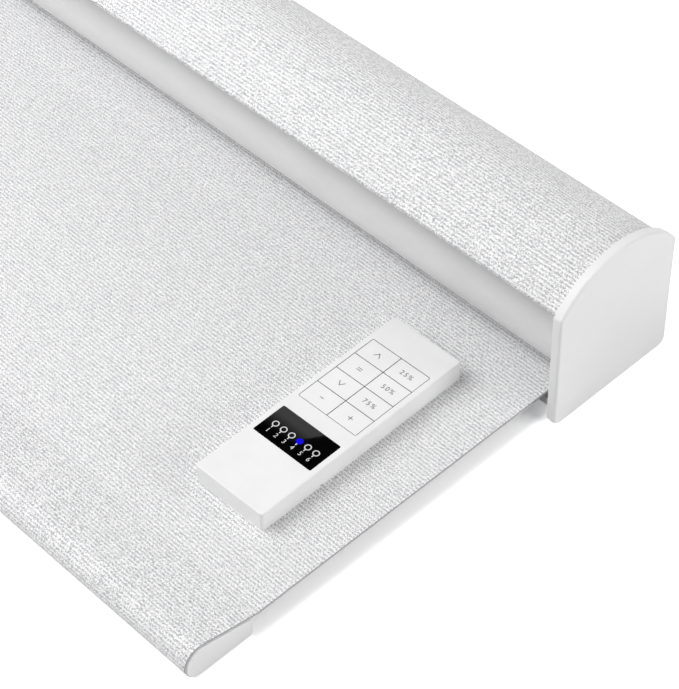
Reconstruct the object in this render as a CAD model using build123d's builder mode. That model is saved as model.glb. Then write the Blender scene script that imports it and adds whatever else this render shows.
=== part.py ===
from build123d import *
from math import cos, radians, sin, sqrt
import os

# Motorised roller blind, laid on its back, with the handset resting on the cloth.
# All sizes are in millimetres.
# Frame: +X runs along the roller, +Y from the hem bar to the ceiling side of the
# cassette, +Z from the wall side to the room side. The origin is the middle of the
# cassette's wall face.

os.makedirs("parts", exist_ok=True)

# Cassette
blind_length = 600.0
cassette_height = 90.0
cassette_side = 79.0
dome_rise = 22.0
cap_thickness = 5.8
cap_face = 2.2
cap_wall = 2.2
cap_corner_radius = 5.0
cap_edge_radius = 1.4
cap_lip = 2.5
fascia_wall = 1.6
fascia_hook = 1.8
fascia_lip = 6.0
headrail_wall = 2.0
headrail_front_lip = 5.0
headrail_front_gap = 7.0
end_plate_thickness = 2.0
port_hole_radius = 1.6
port_wall = 1.7
port_height = 5.6
port_upper_height = 56.0
peg_radius = 1.5
front_peg_y = -28.0
front_peg_z = 57.0
rear_peg_y = 28.0
rear_peg_z = 16.0
screw_head_height = 1.2
screw_head_radius = 2.9
screw_reach = 9.0
tongue_rise = 1.9

# Mounting clips and the channel that they snap into
channel_width = 26.0
channel_depth = 4.6
channel_front = 5.0
channel_lip = 2.4
channel_lip_thickness = 1.8
clip_length = 44.0
clip_wall = 1.2
clip_spacing = 400.0
clip_hole_radius = 2.25
clip_hole_spacing = 26.0

# Cloth, roller and roll
cloth_thickness = 0.5
cloth_inset = 13.0
cloth_height = 11.3
roll_radius = 27.0
roll_turns = 7
roll_y = -5.0
tube_radius = 19.0
tube_wall = 1.2
groove_width = 5.6
groove_mouth = 3.2
groove_depth = 2.6
groove_wall = 1.0

# Motor
motor_radius = 12.5
motor_wall = 0.8
motor_length = 428.0
motor_head_radius = 22.0
motor_end_gap = 0.6
motor_boss_depth = 26.0
motor_boss_width = 26.0
motor_boss_corner = 2.0
motor_screw_offset = 15.0
motor_screw_depth = 4.9
spigot_length = 8.0
cell_radius = 9.2
cell_length = 65.0
cell_count = 3
cell_pip_radius = 3.0
cell_pip_height = 0.8
cell_gap = 1.0
inner_gap = 2.0
control_board_thickness = 1.6
control_relay_height = 5.0
motor_can_length = 50.0
gearbox_length = 86.0
gearbox_flange = 2.0
shaft_radius = 4.0
shaft_square = 6.4
shaft_square_corner = 0.6
shaft_engaged = 20.0
shaft_end_gap = 6.0
shaft_beyond_wheel = 3.0
wheel_length = 20.0
wheel_hole_radius = 3.0
wheel_hole_count = 5
wheel_hole_step = 72
wheel_hole_circle = 11.0
shaft_clip_radius = 7.0
shaft_clip_thickness = 1.2
crown_length = 14.0
socket_width = 8.9
socket_height = 3.2
socket_depth = 6.0
socket_floor = 1.0
socket_shell = 0.35
socket_tongue_width = 5.6
socket_tongue_thickness = 0.7
socket_offset = 6.5
button_radius = 2.0
button_travel = 0.6
button_depth = 5.0
button_crown = 0.4
button_edge = 0.3

# Idle end
pin_radius = 4.0
pin_collar_radius = 6.8
pin_collar_length = 3.0
pin_travel = 6.2
pin_tip_setback = 0.3
plug_flange = 2.0
plug_nose = 5.0
plug_floor = 2.0
spring_slack = 9.4
pin_tip_chamfer = 0.8
bush_chamfer = 0.3
bush_radius = 9.0
bush_length = 3.2
spring_wire = 0.8
spring_turns = 6

# Hem bar
hem_reach = 249.8
hem_depth = 44.0
hem_nose_radius = 10.0
hem_tip_height = 12.7
hem_tip_radius = 3.0
hem_wall = 1.5
hem_cap_plate = 1.8
hem_cap_proud = 0.8
hem_cap_plug = 8.0
hem_cap_edge = 0.5
hem_groove_depth = 3.0
hem_groove_width = 4.6
hem_groove_mouth = 2.4

# Handset
handset_length = 148.0
handset_width = 49.2
handset_height = 12.5
handset_inset = 75.8
handset_reach = 91.5
handset_turn = 1.2
handset_wall = 1.6
handset_corner = 1.5
handset_inner_corner = 0.5
handset_edge = 0.6
base_thickness = 1.4
cover_length = 42.0
keypad_width = 42.3
keypad_length = 57.0
keypad_offset = 20.2
keypad_corner = 0.9
key_columns = 2
key_rows = 4
key_gap = 0.3
key_thickness = 2.0
key_travel = 0.4
display_width = 42.2
display_length = 22.8
display_offset = 87.5
display_corner = 0.9
window_thickness = 1.2
window_ledge = 0.8
led_count = 6
led_pitch = 6.1
led_size = 1.6
board_thickness = 1.2
board_height = 7.4
mat_thickness = 1.0
cell_disc_radius = 12.25
cell_disc_thickness = 5.0
cell_disc_edge = 0.4
contact_width = 4.0
contact_length = 12.0
side_contact_length = 8.0
side_contact_thickness = 0.6
dome_radius_under_key = 3.0
dome_taper = 20
key_edge = 0.15
led_height = 0.9
handset_boss_radius = 2.4
handset_boss_gap = 1.0
handset_screw_radius = 1.0
handset_screw_length = 6.0
cover_grip_from_end = 31.5
cover_grip_width = 16.0
cover_grip_line = 0.8
cover_grip_pitch = 1.8
cover_grip_lines = 4
cover_grip_depth = 0.5
cover_notch_radius = 0.9

# Clearances
fit_gap = 0.1
running_gap = 0.05
seat_gap = 0.3
hair_gap = 0.15

# Derived places
half_length = blind_length / 2
half_height = cassette_height / 2
dome_radius = (half_height ** 2 + dome_rise ** 2) / (2 * dome_rise)
dome_z = cassette_side + dome_rise - dome_radius
rail_end = half_length - cap_thickness
cloth_end = half_length - cloth_inset
skin_radius = dome_radius - cap_lip
panel_radius = skin_radius - cloth_thickness
skin_half = half_height - cap_lip
fascia_edge = dome_z + sqrt(skin_radius ** 2 - skin_half ** 2)
roll_z = cloth_height + roll_radius
cloth_top = cloth_height + cloth_thickness
roller_axis = (roll_y, roll_z)


def at_x(x):
    """Section plane across the blind, with Y to the right and Z up."""
    return Plane.YZ.offset(x)


def keep(part, name):
    """Label a finished piece and write its STEP file."""
    part.label = name
    export_step(part, f"parts/{name}.step")


def cassette_outline(inset, corner):
    """Domed end outline of the cassette, moved inwards by inset."""
    half = half_height - inset
    radius = dome_radius - inset
    side = dome_z + sqrt(radius ** 2 - half ** 2)
    with BuildSketch() as outline:
        with BuildLine():
            Polyline((-half, side), (-half, inset), (half, inset), (half, side))
            ThreePointArc((half, side), (0, dome_z + radius), (-half, side))
        make_face()
        lower = outline.vertices().group_by(Axis.Y)[0]
        fillet(lower, corner)
        upper = outline.vertices().group_by(Axis.Y)[-1]
        fillet(upper, corner / 2)
    return outline.sketch


def dome_band(outer, inner):
    """Strip between two dome radii, cut level with the fascia's lower edge."""
    with BuildSketch() as band:
        with Locations((0, dome_z)):
            Circle(outer)
            Circle(inner, mode=Mode.SUBTRACT)
        with Locations((0, fascia_edge)):
            Rectangle(4 * dome_radius, 2 * dome_radius, align=(Align.CENTER, Align.MIN),
                      mode=Mode.INTERSECT)
    return band.sketch


# End caps
# A plastic cap covers each end. Its inside is recessed for the end plate.
peg_places = [(front_peg_y, front_peg_z), (rear_peg_y, rear_peg_z)]
peg_length = cap_thickness - cap_face - hair_gap

for side, name in ((1, "end_cap_near"), (-1, "end_cap_far")):
    with BuildPart() as end_cap:
        with BuildSketch(at_x(side * rail_end)):
            add(cassette_outline(0, cap_corner_radius))
        extrude(amount=side * cap_thickness)
        outer_face = end_cap.faces().sort_by(Axis.X)[-1 if side > 0 else 0]
        fillet(outer_face.edges(), cap_edge_radius)
        with BuildSketch(at_x(side * rail_end)):
            add(cassette_outline(cap_wall, cap_corner_radius - cap_wall))
        extrude(amount=side * (cap_thickness - cap_face), mode=Mode.SUBTRACT)
        with BuildSketch(at_x(side * (half_length - cap_face))):
            with Locations(*peg_places):
                Circle(peg_radius)
        extrude(amount=-side * peg_length)
    keep(end_cap.part, name)

# End plates
# A steel plate in each cap carries the roller and closes the rail.
plate_inset = cap_wall + hair_gap
port_radius = port_hole_radius + port_wall
rear_port_y = skin_half - headrail_wall - port_radius + hair_gap
front_port_y = -skin_half + headrail_front_gap + headrail_wall + port_radius
port_places = [
    (rear_port_y, port_height),
    (rear_port_y, port_upper_height),
    (front_port_y, port_height),
]
motor_screw_places = [(roll_y, roll_z + motor_screw_offset), (roll_y, roll_z - motor_screw_offset)]

for side, name in ((1, "end_plate_near"), (-1, "end_plate_far")):
    with BuildPart() as end_plate:
        with BuildSketch(at_x(side * rail_end)):
            add(cassette_outline(plate_inset, cap_corner_radius - plate_inset))
            with Locations(*port_places):
                Circle(port_hole_radius + fit_gap, mode=Mode.SUBTRACT)
            with Locations(*peg_places):
                Circle(peg_radius + fit_gap, mode=Mode.SUBTRACT)
            if side > 0:
                with Locations(roller_axis):
                    Circle(pin_radius + seat_gap, mode=Mode.SUBTRACT)
            else:
                with Locations(*motor_screw_places):
                    Circle(port_hole_radius + fit_gap, mode=Mode.SUBTRACT)
        extrude(amount=side * end_plate_thickness)
    keep(end_plate.part, name)

# End plate screws
# Low pan heads lie in the cap's recess, and the shanks bite the rail's screw ports.
screw_shank_radius = port_hole_radius - running_gap
with BuildPart() as plate_screws:
    for side in (1, -1):
        plate_back = side * (rail_end + end_plate_thickness)
        with BuildSketch(at_x(plate_back)):
            with Locations(*port_places):
                Circle(screw_head_radius)
        extrude(amount=side * screw_head_height)
        with BuildSketch(at_x(plate_back)):
            with Locations(*port_places):
                Circle(screw_shank_radius)
        extrude(amount=-side * (end_plate_thickness + screw_reach))
keep(plate_screws.part, "end_plate_screws")

# Headrail
# An aluminium extrusion: the wall flange with its snap channel, the ceiling flange,
# the groove for the fascia's hook and three screw ports.
groove_floor = fascia_edge - fascia_hook - seat_gap
tongue_top = fascia_edge + tongue_rise
tongue_y = sqrt((panel_radius - fascia_wall - seat_gap) ** 2 - (tongue_top - dome_z) ** 2)
channel_middle = channel_front + channel_width / 2
with BuildPart() as headrail:
    with BuildSketch(at_x(-rail_end)):
        front = -skin_half + headrail_front_gap
        with Locations((front, 0)):
            Rectangle(skin_half - front, headrail_wall, align=Align.MIN)
            Rectangle(headrail_wall, headrail_front_lip, align=Align.MIN)
        with Locations((skin_half - headrail_wall, 0)):
            Rectangle(headrail_wall, fascia_edge, align=Align.MIN)
        with Locations((tongue_y - fascia_wall, groove_floor - fascia_wall)):
            Rectangle(skin_half - tongue_y + fascia_wall, fascia_wall, align=Align.MIN)
            Rectangle(fascia_wall, tongue_top - groove_floor + fascia_wall, align=Align.MIN)
        channel_half = channel_width / 2 + headrail_wall
        with Locations((channel_middle - channel_half, 0)):
            Rectangle(2 * channel_half, channel_depth + headrail_wall, align=Align.MIN)
        with Locations((channel_front, channel_lip_thickness)):
            Rectangle(channel_width, channel_depth - channel_lip_thickness, align=Align.MIN,
                      mode=Mode.SUBTRACT)
        with Locations((channel_front + channel_lip, 0)):
            Rectangle(channel_width - 2 * channel_lip, channel_depth, align=Align.MIN, mode=Mode.SUBTRACT)
        with Locations(*port_places):
            Circle(port_radius)
            Circle(port_hole_radius, mode=Mode.SUBTRACT)
    extrude(amount=2 * rail_end)
keep(headrail.part, "headrail")

# Mounting clips
# Bent spring steel, screwed to the wall, with wings that snap behind the channel's lips.
clip_base = channel_width - 2 * channel_lip - 2 * seat_gap
clip_span = channel_width - 2 * seat_gap
for side, name in ((1, "mounting_clip_near"), (-1, "mounting_clip_far")):
    clip_x = side * clip_spacing / 2
    with BuildPart() as clip:
        with BuildSketch(at_x(clip_x - clip_length / 2)):
            with Locations((channel_middle, 0)):
                Rectangle(clip_base, channel_lip_thickness + clip_wall, align=(Align.CENTER, Align.MIN))
            with Locations((channel_middle, channel_lip_thickness)):
                Rectangle(clip_span, clip_wall, align=(Align.CENTER, Align.MIN))
            with Locations((channel_middle, clip_wall)):
                Rectangle(clip_base - 2 * clip_wall, channel_depth, align=(Align.CENTER, Align.MIN),
                          mode=Mode.SUBTRACT)
        extrude(amount=clip_length)
        with BuildSketch(Plane.XY):
            with Locations((clip_x, channel_middle)):
                with GridLocations(clip_hole_spacing, 1, 2, 1):
                    Circle(clip_hole_radius)
        extrude(amount=clip_wall, mode=Mode.SUBTRACT)
    keep(clip.part, name)

# Fascia panel
# A curved aluminium cover. Its rear hook drops into the headrail's groove.
hook_y = tongue_y + seat_gap
with BuildPart() as fascia_panel:
    with BuildSketch(at_x(-rail_end)):
        add(dome_band(panel_radius, panel_radius - fascia_wall))
        with Locations((-skin_half, fascia_edge)):
            Rectangle(fascia_lip, fascia_wall, align=Align.MIN)
        with Locations((0, dome_z)):
            Circle(panel_radius, mode=Mode.INTERSECT)
        with Locations((hook_y, fascia_edge - fascia_hook)):
            Rectangle(fascia_wall, fascia_hook + fascia_wall / 2, align=Align.MIN)
    extrude(amount=2 * rail_end)
keep(fascia_panel.part, "fascia_panel")

# Fascia cloth
# The blind's own cloth, bonded over the panel from edge to edge.
with BuildPart() as fascia_cloth:
    with BuildSketch(at_x(-rail_end)):
        add(dome_band(skin_radius, panel_radius))
    extrude(amount=2 * rail_end)
keep(fascia_cloth.part, "fascia_cloth")

# Roller tube
# An aluminium tube with a keyed groove for the cloth's spline.
tube_inner = tube_radius - tube_wall
groove_floor_radius = tube_radius - groove_depth - tube_wall
with BuildPart() as roller_tube:
    with BuildSketch(at_x(-cloth_end)):
        with Locations(roller_axis):
            Circle(tube_radius)
            Circle(tube_inner, mode=Mode.SUBTRACT)
        with Locations((roll_y, roll_z + groove_floor_radius - groove_wall)):
            Rectangle(groove_width + 2 * groove_wall, groove_depth + tube_wall / 2 + groove_wall,
                      align=(Align.CENTER, Align.MIN))
        with Locations((roll_y, roll_z + groove_floor_radius)):
            Rectangle(groove_width, groove_depth, align=(Align.CENTER, Align.MIN), mode=Mode.SUBTRACT)
            Rectangle(groove_mouth, 2 * groove_depth, align=(Align.CENTER, Align.MIN), mode=Mode.SUBTRACT)
    extrude(amount=2 * cloth_end)
keep(roller_tube.part, "roller_tube")

# Tube spline
# A plastic strip that locks the cloth's inner edge in the groove.
with BuildPart() as tube_spline:
    with BuildSketch(at_x(-cloth_end)):
        with Locations((roll_y, roll_z + groove_floor_radius + fit_gap)):
            Rectangle(groove_width - 2 * fit_gap, groove_depth - 2 * fit_gap, align=(Align.CENTER, Align.MIN))
            Rectangle(groove_mouth - 2 * fit_gap, groove_depth + tube_wall - 2 * fit_gap,
                      align=(Align.CENTER, Align.MIN))
    extrude(amount=2 * cloth_end)
keep(tube_spline.part, "tube_spline")

# Cloth roll
# One strip of cloth wound round the tube. The spiral is half turns whose centres
# alternate by half a pitch, so every half turn runs on tangent into the next.
half_turns = 2 * roll_turns + 1
roll_pitch = (roll_radius - tube_radius - running_gap - cloth_thickness) / roll_turns
turn_gap = roll_pitch - cloth_thickness
print(f"cloth roll: pitch {roll_pitch:.3f}, least gap between turns {turn_gap:.3f}")


def roll_spiral(inward):
    """Arcs of the wound cloth's face, inward from its outer face, from the outer end."""
    arcs = []
    for turn in range(half_turns):
        radius = roll_radius - turn * roll_pitch / 2 - inward
        centre = roll_z if turn % 2 == 0 else roll_z + roll_pitch / 2
        rear = 1 if turn % 2 == 0 else -1
        low = (roll_y, centre - radius)
        high = (roll_y, centre + radius)
        bulge = (roll_y + rear * radius, centre)
        arcs.append((low, bulge, high) if rear > 0 else (high, bulge, low))
    return arcs


outer_spiral = roll_spiral(0)
inner_spiral = roll_spiral(cloth_thickness)
with BuildPart() as cloth_roll:
    with BuildSketch(at_x(-cloth_end)):
        with BuildLine():
            for arc in outer_spiral:
                ThreePointArc(*arc)
            for arc in inner_spiral:
                ThreePointArc(*arc)
            Line(outer_spiral[0][0], inner_spiral[0][0])
            Line(outer_spiral[-1][-1], inner_spiral[-1][-1])
        make_face()
    extrude(amount=2 * cloth_end)
keep(cloth_roll.part, "cloth_roll")

# Motor head
# The head is screwed to the far end plate. Its boss faces down into the room when the
# blind hangs, and holds the charging socket and the setting button.
head_front = -cloth_end - motor_end_gap
head_back = -rail_end
head_middle = (head_front + head_back) / 2
boss_face = roll_y - motor_boss_depth
socket_z = roll_z + socket_offset
button_z = roll_z - socket_offset
with BuildPart() as motor_head:
    with BuildSketch(at_x(head_back)):
        with Locations(roller_axis):
            Circle(motor_head_radius)
            Rectangle(motor_boss_depth, motor_boss_width, align=(Align.MAX, Align.CENTER))
    extrude(amount=head_front - head_back)
    boss_edges = motor_head.edges().filter_by(Axis.X).group_by(Axis.Y)[0]
    fillet(boss_edges, motor_boss_corner)
    with BuildSketch(at_x(head_front)):
        with Locations(roller_axis):
            Circle(motor_radius - motor_wall - running_gap)
    extrude(amount=spigot_length)
    with BuildSketch(Plane.XZ.offset(-boss_face)):
        with Locations((head_middle, socket_z)):
            SlotOverall(socket_width, socket_height, rotation=90)
    extrude(amount=-socket_depth, mode=Mode.SUBTRACT)
    with BuildSketch(Plane.XZ.offset(-boss_face)):
        with Locations((head_middle, button_z)):
            Circle(button_radius + running_gap)
    extrude(amount=-button_depth, mode=Mode.SUBTRACT)
    with BuildSketch(at_x(head_back)):
        with Locations(*motor_screw_places):
            Circle(port_hole_radius)
    extrude(amount=motor_screw_depth, mode=Mode.SUBTRACT)
keep(motor_head.part, "motor_head")

# Charging socket
# A rounded metal shell with its contact tongue, set in the motor head's boss.
with BuildPart() as charging_socket:
    with BuildSketch(Plane.XZ.offset(-boss_face - socket_depth)):
        with Locations((head_middle, socket_z)):
            SlotOverall(socket_width - 2 * running_gap, socket_height - 2 * running_gap, rotation=90)
    extrude(amount=socket_depth - hair_gap)
    with BuildSketch(Plane.XZ.offset(-boss_face - socket_depth + socket_floor)):
        with Locations((head_middle, socket_z)):
            SlotOverall(socket_width - 2 * socket_shell, socket_height - 2 * socket_shell, rotation=90)
    extrude(amount=socket_depth, mode=Mode.SUBTRACT)
    with BuildSketch(Plane.XZ.offset(-boss_face - socket_depth + socket_floor)):
        with Locations((head_middle, socket_z)):
            Rectangle(socket_tongue_thickness, socket_tongue_width)
    extrude(amount=socket_depth - 2 * socket_floor)
keep(charging_socket.part, "charging_socket")

# Setting button
# A domed push button that travels into the motor head.
button_proud = button_travel + button_crown
with BuildPart() as setting_button:
    with BuildSketch(Plane.XZ.offset(-boss_face + button_proud)):
        with Locations((head_middle, button_z)):
            Circle(button_radius)
    extrude(amount=-(button_depth + button_proud - button_travel - seat_gap))
    crown_edge = setting_button.faces().sort_by(Axis.Y)[0].edges()
    chamfer(crown_edge, button_edge)
keep(setting_button.part, "setting_button")

# Motor screws
with BuildPart() as motor_screws:
    with BuildSketch(at_x(-rail_end - end_plate_thickness)):
        with Locations(*motor_screw_places):
            Circle(screw_head_radius)
    extrude(amount=-screw_head_height)
    with BuildSketch(at_x(-rail_end - end_plate_thickness)):
        with Locations(*motor_screw_places):
            Circle(screw_shank_radius)
    extrude(amount=end_plate_thickness + motor_screw_depth - seat_gap)
keep(motor_screws.part, "motor_screws")

# Motor housing
# A steel tube that stands still inside the turning roller.
motor_end = head_front + motor_length
with BuildPart() as motor_housing:
    with BuildSketch(at_x(head_front)):
        with Locations(roller_axis):
            Circle(motor_radius)
            Circle(motor_radius - motor_wall, mode=Mode.SUBTRACT)
    extrude(amount=motor_length)
keep(motor_housing.part, "motor_housing")

# Drive parts inside the housing, from the head to the drive wheel
bore_radius = motor_radius - motor_wall - running_gap
gearbox_start = motor_end - gearbox_length
can_start = gearbox_start - motor_can_length
cells_start = can_start - inner_gap - cell_count * (cell_length + cell_gap)
board_start = head_front + spigot_length
board_length = cells_start - board_start - inner_gap
cell_drop = bore_radius - cell_radius - running_gap

with BuildPart() as control_board:
    with BuildSketch(at_x(board_start)):
        with Locations((roll_y, roll_z)):
            Rectangle(2 * bore_radius - cell_gap, control_board_thickness)
        with Locations((roll_y, roll_z + control_board_thickness / 2)):
            Rectangle(bore_radius, control_relay_height, align=(Align.CENTER, Align.MIN))
    extrude(amount=board_length)
keep(control_board.part, "control_board")

with BuildPart() as battery_cells:
    for cell in range(cell_count):
        cell_x = cells_start + cell * (cell_length + cell_gap)
        with BuildSketch(at_x(cell_x)):
            with Locations((roll_y, roll_z - cell_drop)):
                Circle(cell_radius)
        extrude(amount=cell_length)
        with BuildSketch(at_x(cell_x + cell_length)):
            with Locations((roll_y, roll_z - cell_drop)):
                Circle(cell_pip_radius)
        extrude(amount=cell_pip_height)
keep(battery_cells.part, "battery_cells")

with BuildPart() as drive_motor:
    with BuildSketch(at_x(can_start)):
        with Locations(roller_axis):
            Circle(bore_radius)
    extrude(amount=motor_can_length)
keep(drive_motor.part, "drive_motor")

wheel_start = motor_end + shaft_end_gap
with BuildPart() as gearbox:
    with BuildSketch(at_x(gearbox_start)):
        with Locations(roller_axis):
            Circle(bore_radius)
    extrude(amount=gearbox_length)
    with BuildSketch(at_x(motor_end)):
        with Locations(roller_axis):
            Circle(motor_radius)
            Circle(shaft_radius + running_gap, mode=Mode.SUBTRACT)
    extrude(amount=gearbox_flange)
    with BuildSketch(at_x(motor_end)):
        with Locations(roller_axis):
            Circle(shaft_radius + running_gap)
    extrude(amount=-shaft_engaged, mode=Mode.SUBTRACT)
keep(gearbox.part, "gearbox")

# Output shaft
# Round where it runs in the gearbox, square where it drives the wheel.
with BuildPart() as output_shaft:
    with BuildSketch(at_x(motor_end - shaft_engaged + seat_gap)):
        with Locations(roller_axis):
            Circle(shaft_radius)
    extrude(amount=shaft_engaged - seat_gap + shaft_end_gap)
    with BuildSketch(at_x(wheel_start)):
        with Locations(roller_axis):
            RectangleRounded(shaft_square, shaft_square, shaft_square_corner)
    extrude(amount=wheel_length + shaft_beyond_wheel)
keep(output_shaft.part, "output_shaft")


def tube_key_section(fill_radius):
    """Disc that fits the roller tube, notched for the tube's inner groove."""
    with BuildSketch() as disc:
        with Locations(roller_axis):
            Circle(fill_radius)
        with Locations((roll_y, roll_z + groove_floor_radius - groove_wall - fit_gap)):
            Rectangle(groove_width + 2 * groove_wall + 2 * fit_gap, tube_radius,
                      align=(Align.CENTER, Align.MIN), mode=Mode.SUBTRACT)
    return disc.sketch


# Drive wheel
# Keyed to the tube's groove, it passes the motor's turn to the tube.
wheel_radius = tube_inner - running_gap
square_hole = shaft_square + 2 * running_gap
wheel_hole_start = 90 + wheel_hole_step / 2
wheel_hole_sweep = (wheel_hole_count - 1) * wheel_hole_step
with BuildPart() as drive_wheel:
    with BuildSketch(at_x(wheel_start)):
        add(tube_key_section(wheel_radius))
        with Locations(roller_axis):
            RectangleRounded(square_hole, square_hole, shaft_square_corner, mode=Mode.SUBTRACT)
            with PolarLocations(wheel_hole_circle, wheel_hole_count, wheel_hole_start, wheel_hole_sweep,
                                endpoint=True):
                Circle(wheel_hole_radius, mode=Mode.SUBTRACT)
    extrude(amount=wheel_length)
keep(drive_wheel.part, "drive_wheel")

# Shaft clip
# A ring on the shaft's end that holds the drive wheel.
with BuildPart() as shaft_clip:
    with BuildSketch(at_x(wheel_start + wheel_length)):
        with Locations(roller_axis):
            Circle(shaft_clip_radius)
            RectangleRounded(square_hole, square_hole, shaft_square_corner, mode=Mode.SUBTRACT)
    extrude(amount=shaft_clip_thickness)
keep(shaft_clip.part, "shaft_clip")

# Crown
# A plastic ring in the tube's motor end that runs on the still housing.
with BuildPart() as crown:
    with BuildSketch(at_x(-cloth_end)):
        add(tube_key_section(wheel_radius))
        with Locations(roller_axis):
            Circle(motor_radius + running_gap, mode=Mode.SUBTRACT)
    extrude(amount=crown_length)
keep(crown.part, "crown")

# Idle plug
# A keyed plug in the tube's near end, bored for the sprung pin.
spring_solid = (spring_turns + 2) * spring_wire
chamber_end = cloth_end + plug_flange - plug_nose
chamber_start = chamber_end - pin_collar_length - pin_travel - spring_solid - spring_slack
plug_back = chamber_start - plug_floor
with BuildPart() as idle_plug:
    with BuildSketch(at_x(plug_back)):
        add(tube_key_section(wheel_radius))
    extrude(amount=cloth_end - plug_back)
    with BuildSketch(at_x(cloth_end)):
        with Locations(roller_axis):
            Circle(tube_radius)
    extrude(amount=plug_flange)
    with BuildSketch(at_x(chamber_start)):
        with Locations(roller_axis):
            Circle(pin_collar_radius + running_gap)
    extrude(amount=chamber_end - chamber_start, mode=Mode.SUBTRACT)
    with BuildSketch(at_x(chamber_end)):
        with Locations(roller_axis):
            Circle(pin_radius + running_gap)
    extrude(amount=plug_nose, mode=Mode.SUBTRACT)
keep(idle_plug.part, "idle_plug")

# Idle pin
# It springs out into the bush on the near end plate, and is pushed in to free the tube.
pin_tip = rail_end + end_plate_thickness - pin_tip_setback
with BuildPart() as idle_pin:
    with BuildSketch(at_x(chamber_end - pin_collar_length)):
        with Locations(roller_axis):
            Circle(pin_collar_radius)
    extrude(amount=pin_collar_length)
    with BuildSketch(at_x(chamber_end)):
        with Locations(roller_axis):
            Circle(pin_radius)
    extrude(amount=pin_tip - chamber_end)
    tip_edge = idle_pin.faces().sort_by(Axis.X)[-1].edges()
    chamfer(tip_edge, pin_tip_chamfer)
keep(idle_pin.part, "idle_pin")

# Idle spring
# A coil between the plug's floor and the pin's collar.
spring_length = chamber_end - pin_collar_length - chamber_start - 2 * spring_wire
spring_radius = pin_collar_radius - spring_wire
spring_foot = (chamber_start + spring_wire, roll_y, roll_z)
with BuildPart() as idle_spring:
    with BuildLine() as coil:
        Helix(pitch=spring_length / spring_turns, height=spring_length, radius=spring_radius,
              center=spring_foot, direction=(1, 0, 0))
    with BuildSketch(Plane(origin=coil.line @ 0, z_dir=coil.line % 0)):
        RegularPolygon(spring_wire / 2, 6)
    sweep(is_frenet=True)
keep(idle_spring.part, "idle_spring")

# Idle bush
# The plastic socket that the pin turns in, fixed on the near end plate.
with BuildPart() as idle_bush:
    with BuildSketch(at_x(rail_end - bush_length)):
        with Locations(roller_axis):
            Circle(bush_radius)
            Circle(pin_radius + running_gap, mode=Mode.SUBTRACT)
    extrude(amount=bush_length)
    rim = idle_bush.faces().sort_by(Axis.X)[0].edges()
    chamfer(rim, bush_chamfer)
keep(idle_bush.part, "idle_bush")

# Hem bar outline
# A drop section that lies flat: a round nose, a sloping top and a blunt tip.
hem_nose_y = -half_height - hem_reach
hem_tip_y = hem_nose_y + hem_depth


def hem_outline(inset):
    """Drop-shaped section of the hem bar, moved inwards by inset."""
    centre = (hem_nose_y + hem_nose_radius, hem_nose_radius)
    reach = hem_tip_y - centre[0]
    rise = hem_tip_height - hem_nose_radius
    span = sqrt(reach ** 2 + rise ** 2)
    along = Vector(reach, rise) / span
    across = Vector(-along.Y, along.X)
    part_sin = hem_nose_radius / span
    part_cos = sqrt(1 - part_sin ** 2)
    touch = Vector(*centre) + (along * part_sin + across * part_cos) * hem_nose_radius
    with BuildSketch() as outline:
        with BuildLine():
            Line((hem_tip_y, hem_tip_height), touch)
            ThreePointArc(touch, (hem_nose_y, hem_nose_radius), (centre[0], 0))
            Polyline((centre[0], 0), (hem_tip_y, 0), (hem_tip_y, hem_tip_height))
        make_face()
        tip = outline.vertices().group_by(Axis.X)[-1]
        fillet(tip, hem_tip_radius)
        if inset > 0:
            offset(amount=-inset, kind=Kind.INTERSECTION, mode=Mode.REPLACE)
    return outline.sketch


# Hem bar
# A hollow extrusion with a groove along its tip for the cloth's spline.
hem_core_end = cloth_end - hem_cap_plate + hem_cap_proud
hem_groove_z = hem_tip_height / 2
hem_web_depth = 2 * hem_wall + hem_groove_depth + hem_wall
with BuildPart() as hem_bar:
    with BuildSketch(at_x(-hem_core_end)):
        add(hem_outline(cloth_thickness))
        with BuildSketch(mode=Mode.PRIVATE) as hollow:
            add(hem_outline(cloth_thickness + hem_wall))
            with Locations((hem_tip_y - cloth_thickness, 0)):
                Rectangle(hem_web_depth, 2 * hem_depth, mode=Mode.SUBTRACT, align=(Align.MAX, Align.CENTER))
        add(hollow.sketch, mode=Mode.SUBTRACT)
        with Locations((hem_tip_y - cloth_thickness - hem_wall, hem_groove_z)):
            Rectangle(hem_groove_depth, hem_groove_width, align=(Align.MAX, Align.CENTER), mode=Mode.SUBTRACT)
            Rectangle(2 * hem_wall, hem_groove_mouth, mode=Mode.SUBTRACT)
    extrude(amount=2 * hem_core_end)
keep(hem_bar.part, "hem_bar")

# Hem spline
with BuildPart() as hem_spline:
    with BuildSketch(at_x(-hem_core_end)):
        with Locations((hem_tip_y - cloth_thickness - hem_wall - fit_gap, hem_groove_z)):
            Rectangle(hem_groove_depth - 2 * fit_gap, hem_groove_width - 2 * fit_gap,
                      align=(Align.MAX, Align.CENTER))
            Rectangle(2 * hem_wall, hem_groove_mouth - 2 * fit_gap)
    extrude(amount=2 * hem_core_end)
keep(hem_spline.part, "hem_spline")

# Hem cloth
# The cloth's end, wrapped over the top, round the nose and back under the bar.
with BuildPart() as hem_cloth:
    with BuildSketch(at_x(-cloth_end)):
        add(hem_outline(0))
        add(hem_outline(cloth_thickness), mode=Mode.SUBTRACT)
    extrude(amount=2 * cloth_end)
keep(hem_cloth.part, "hem_cloth")

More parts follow.
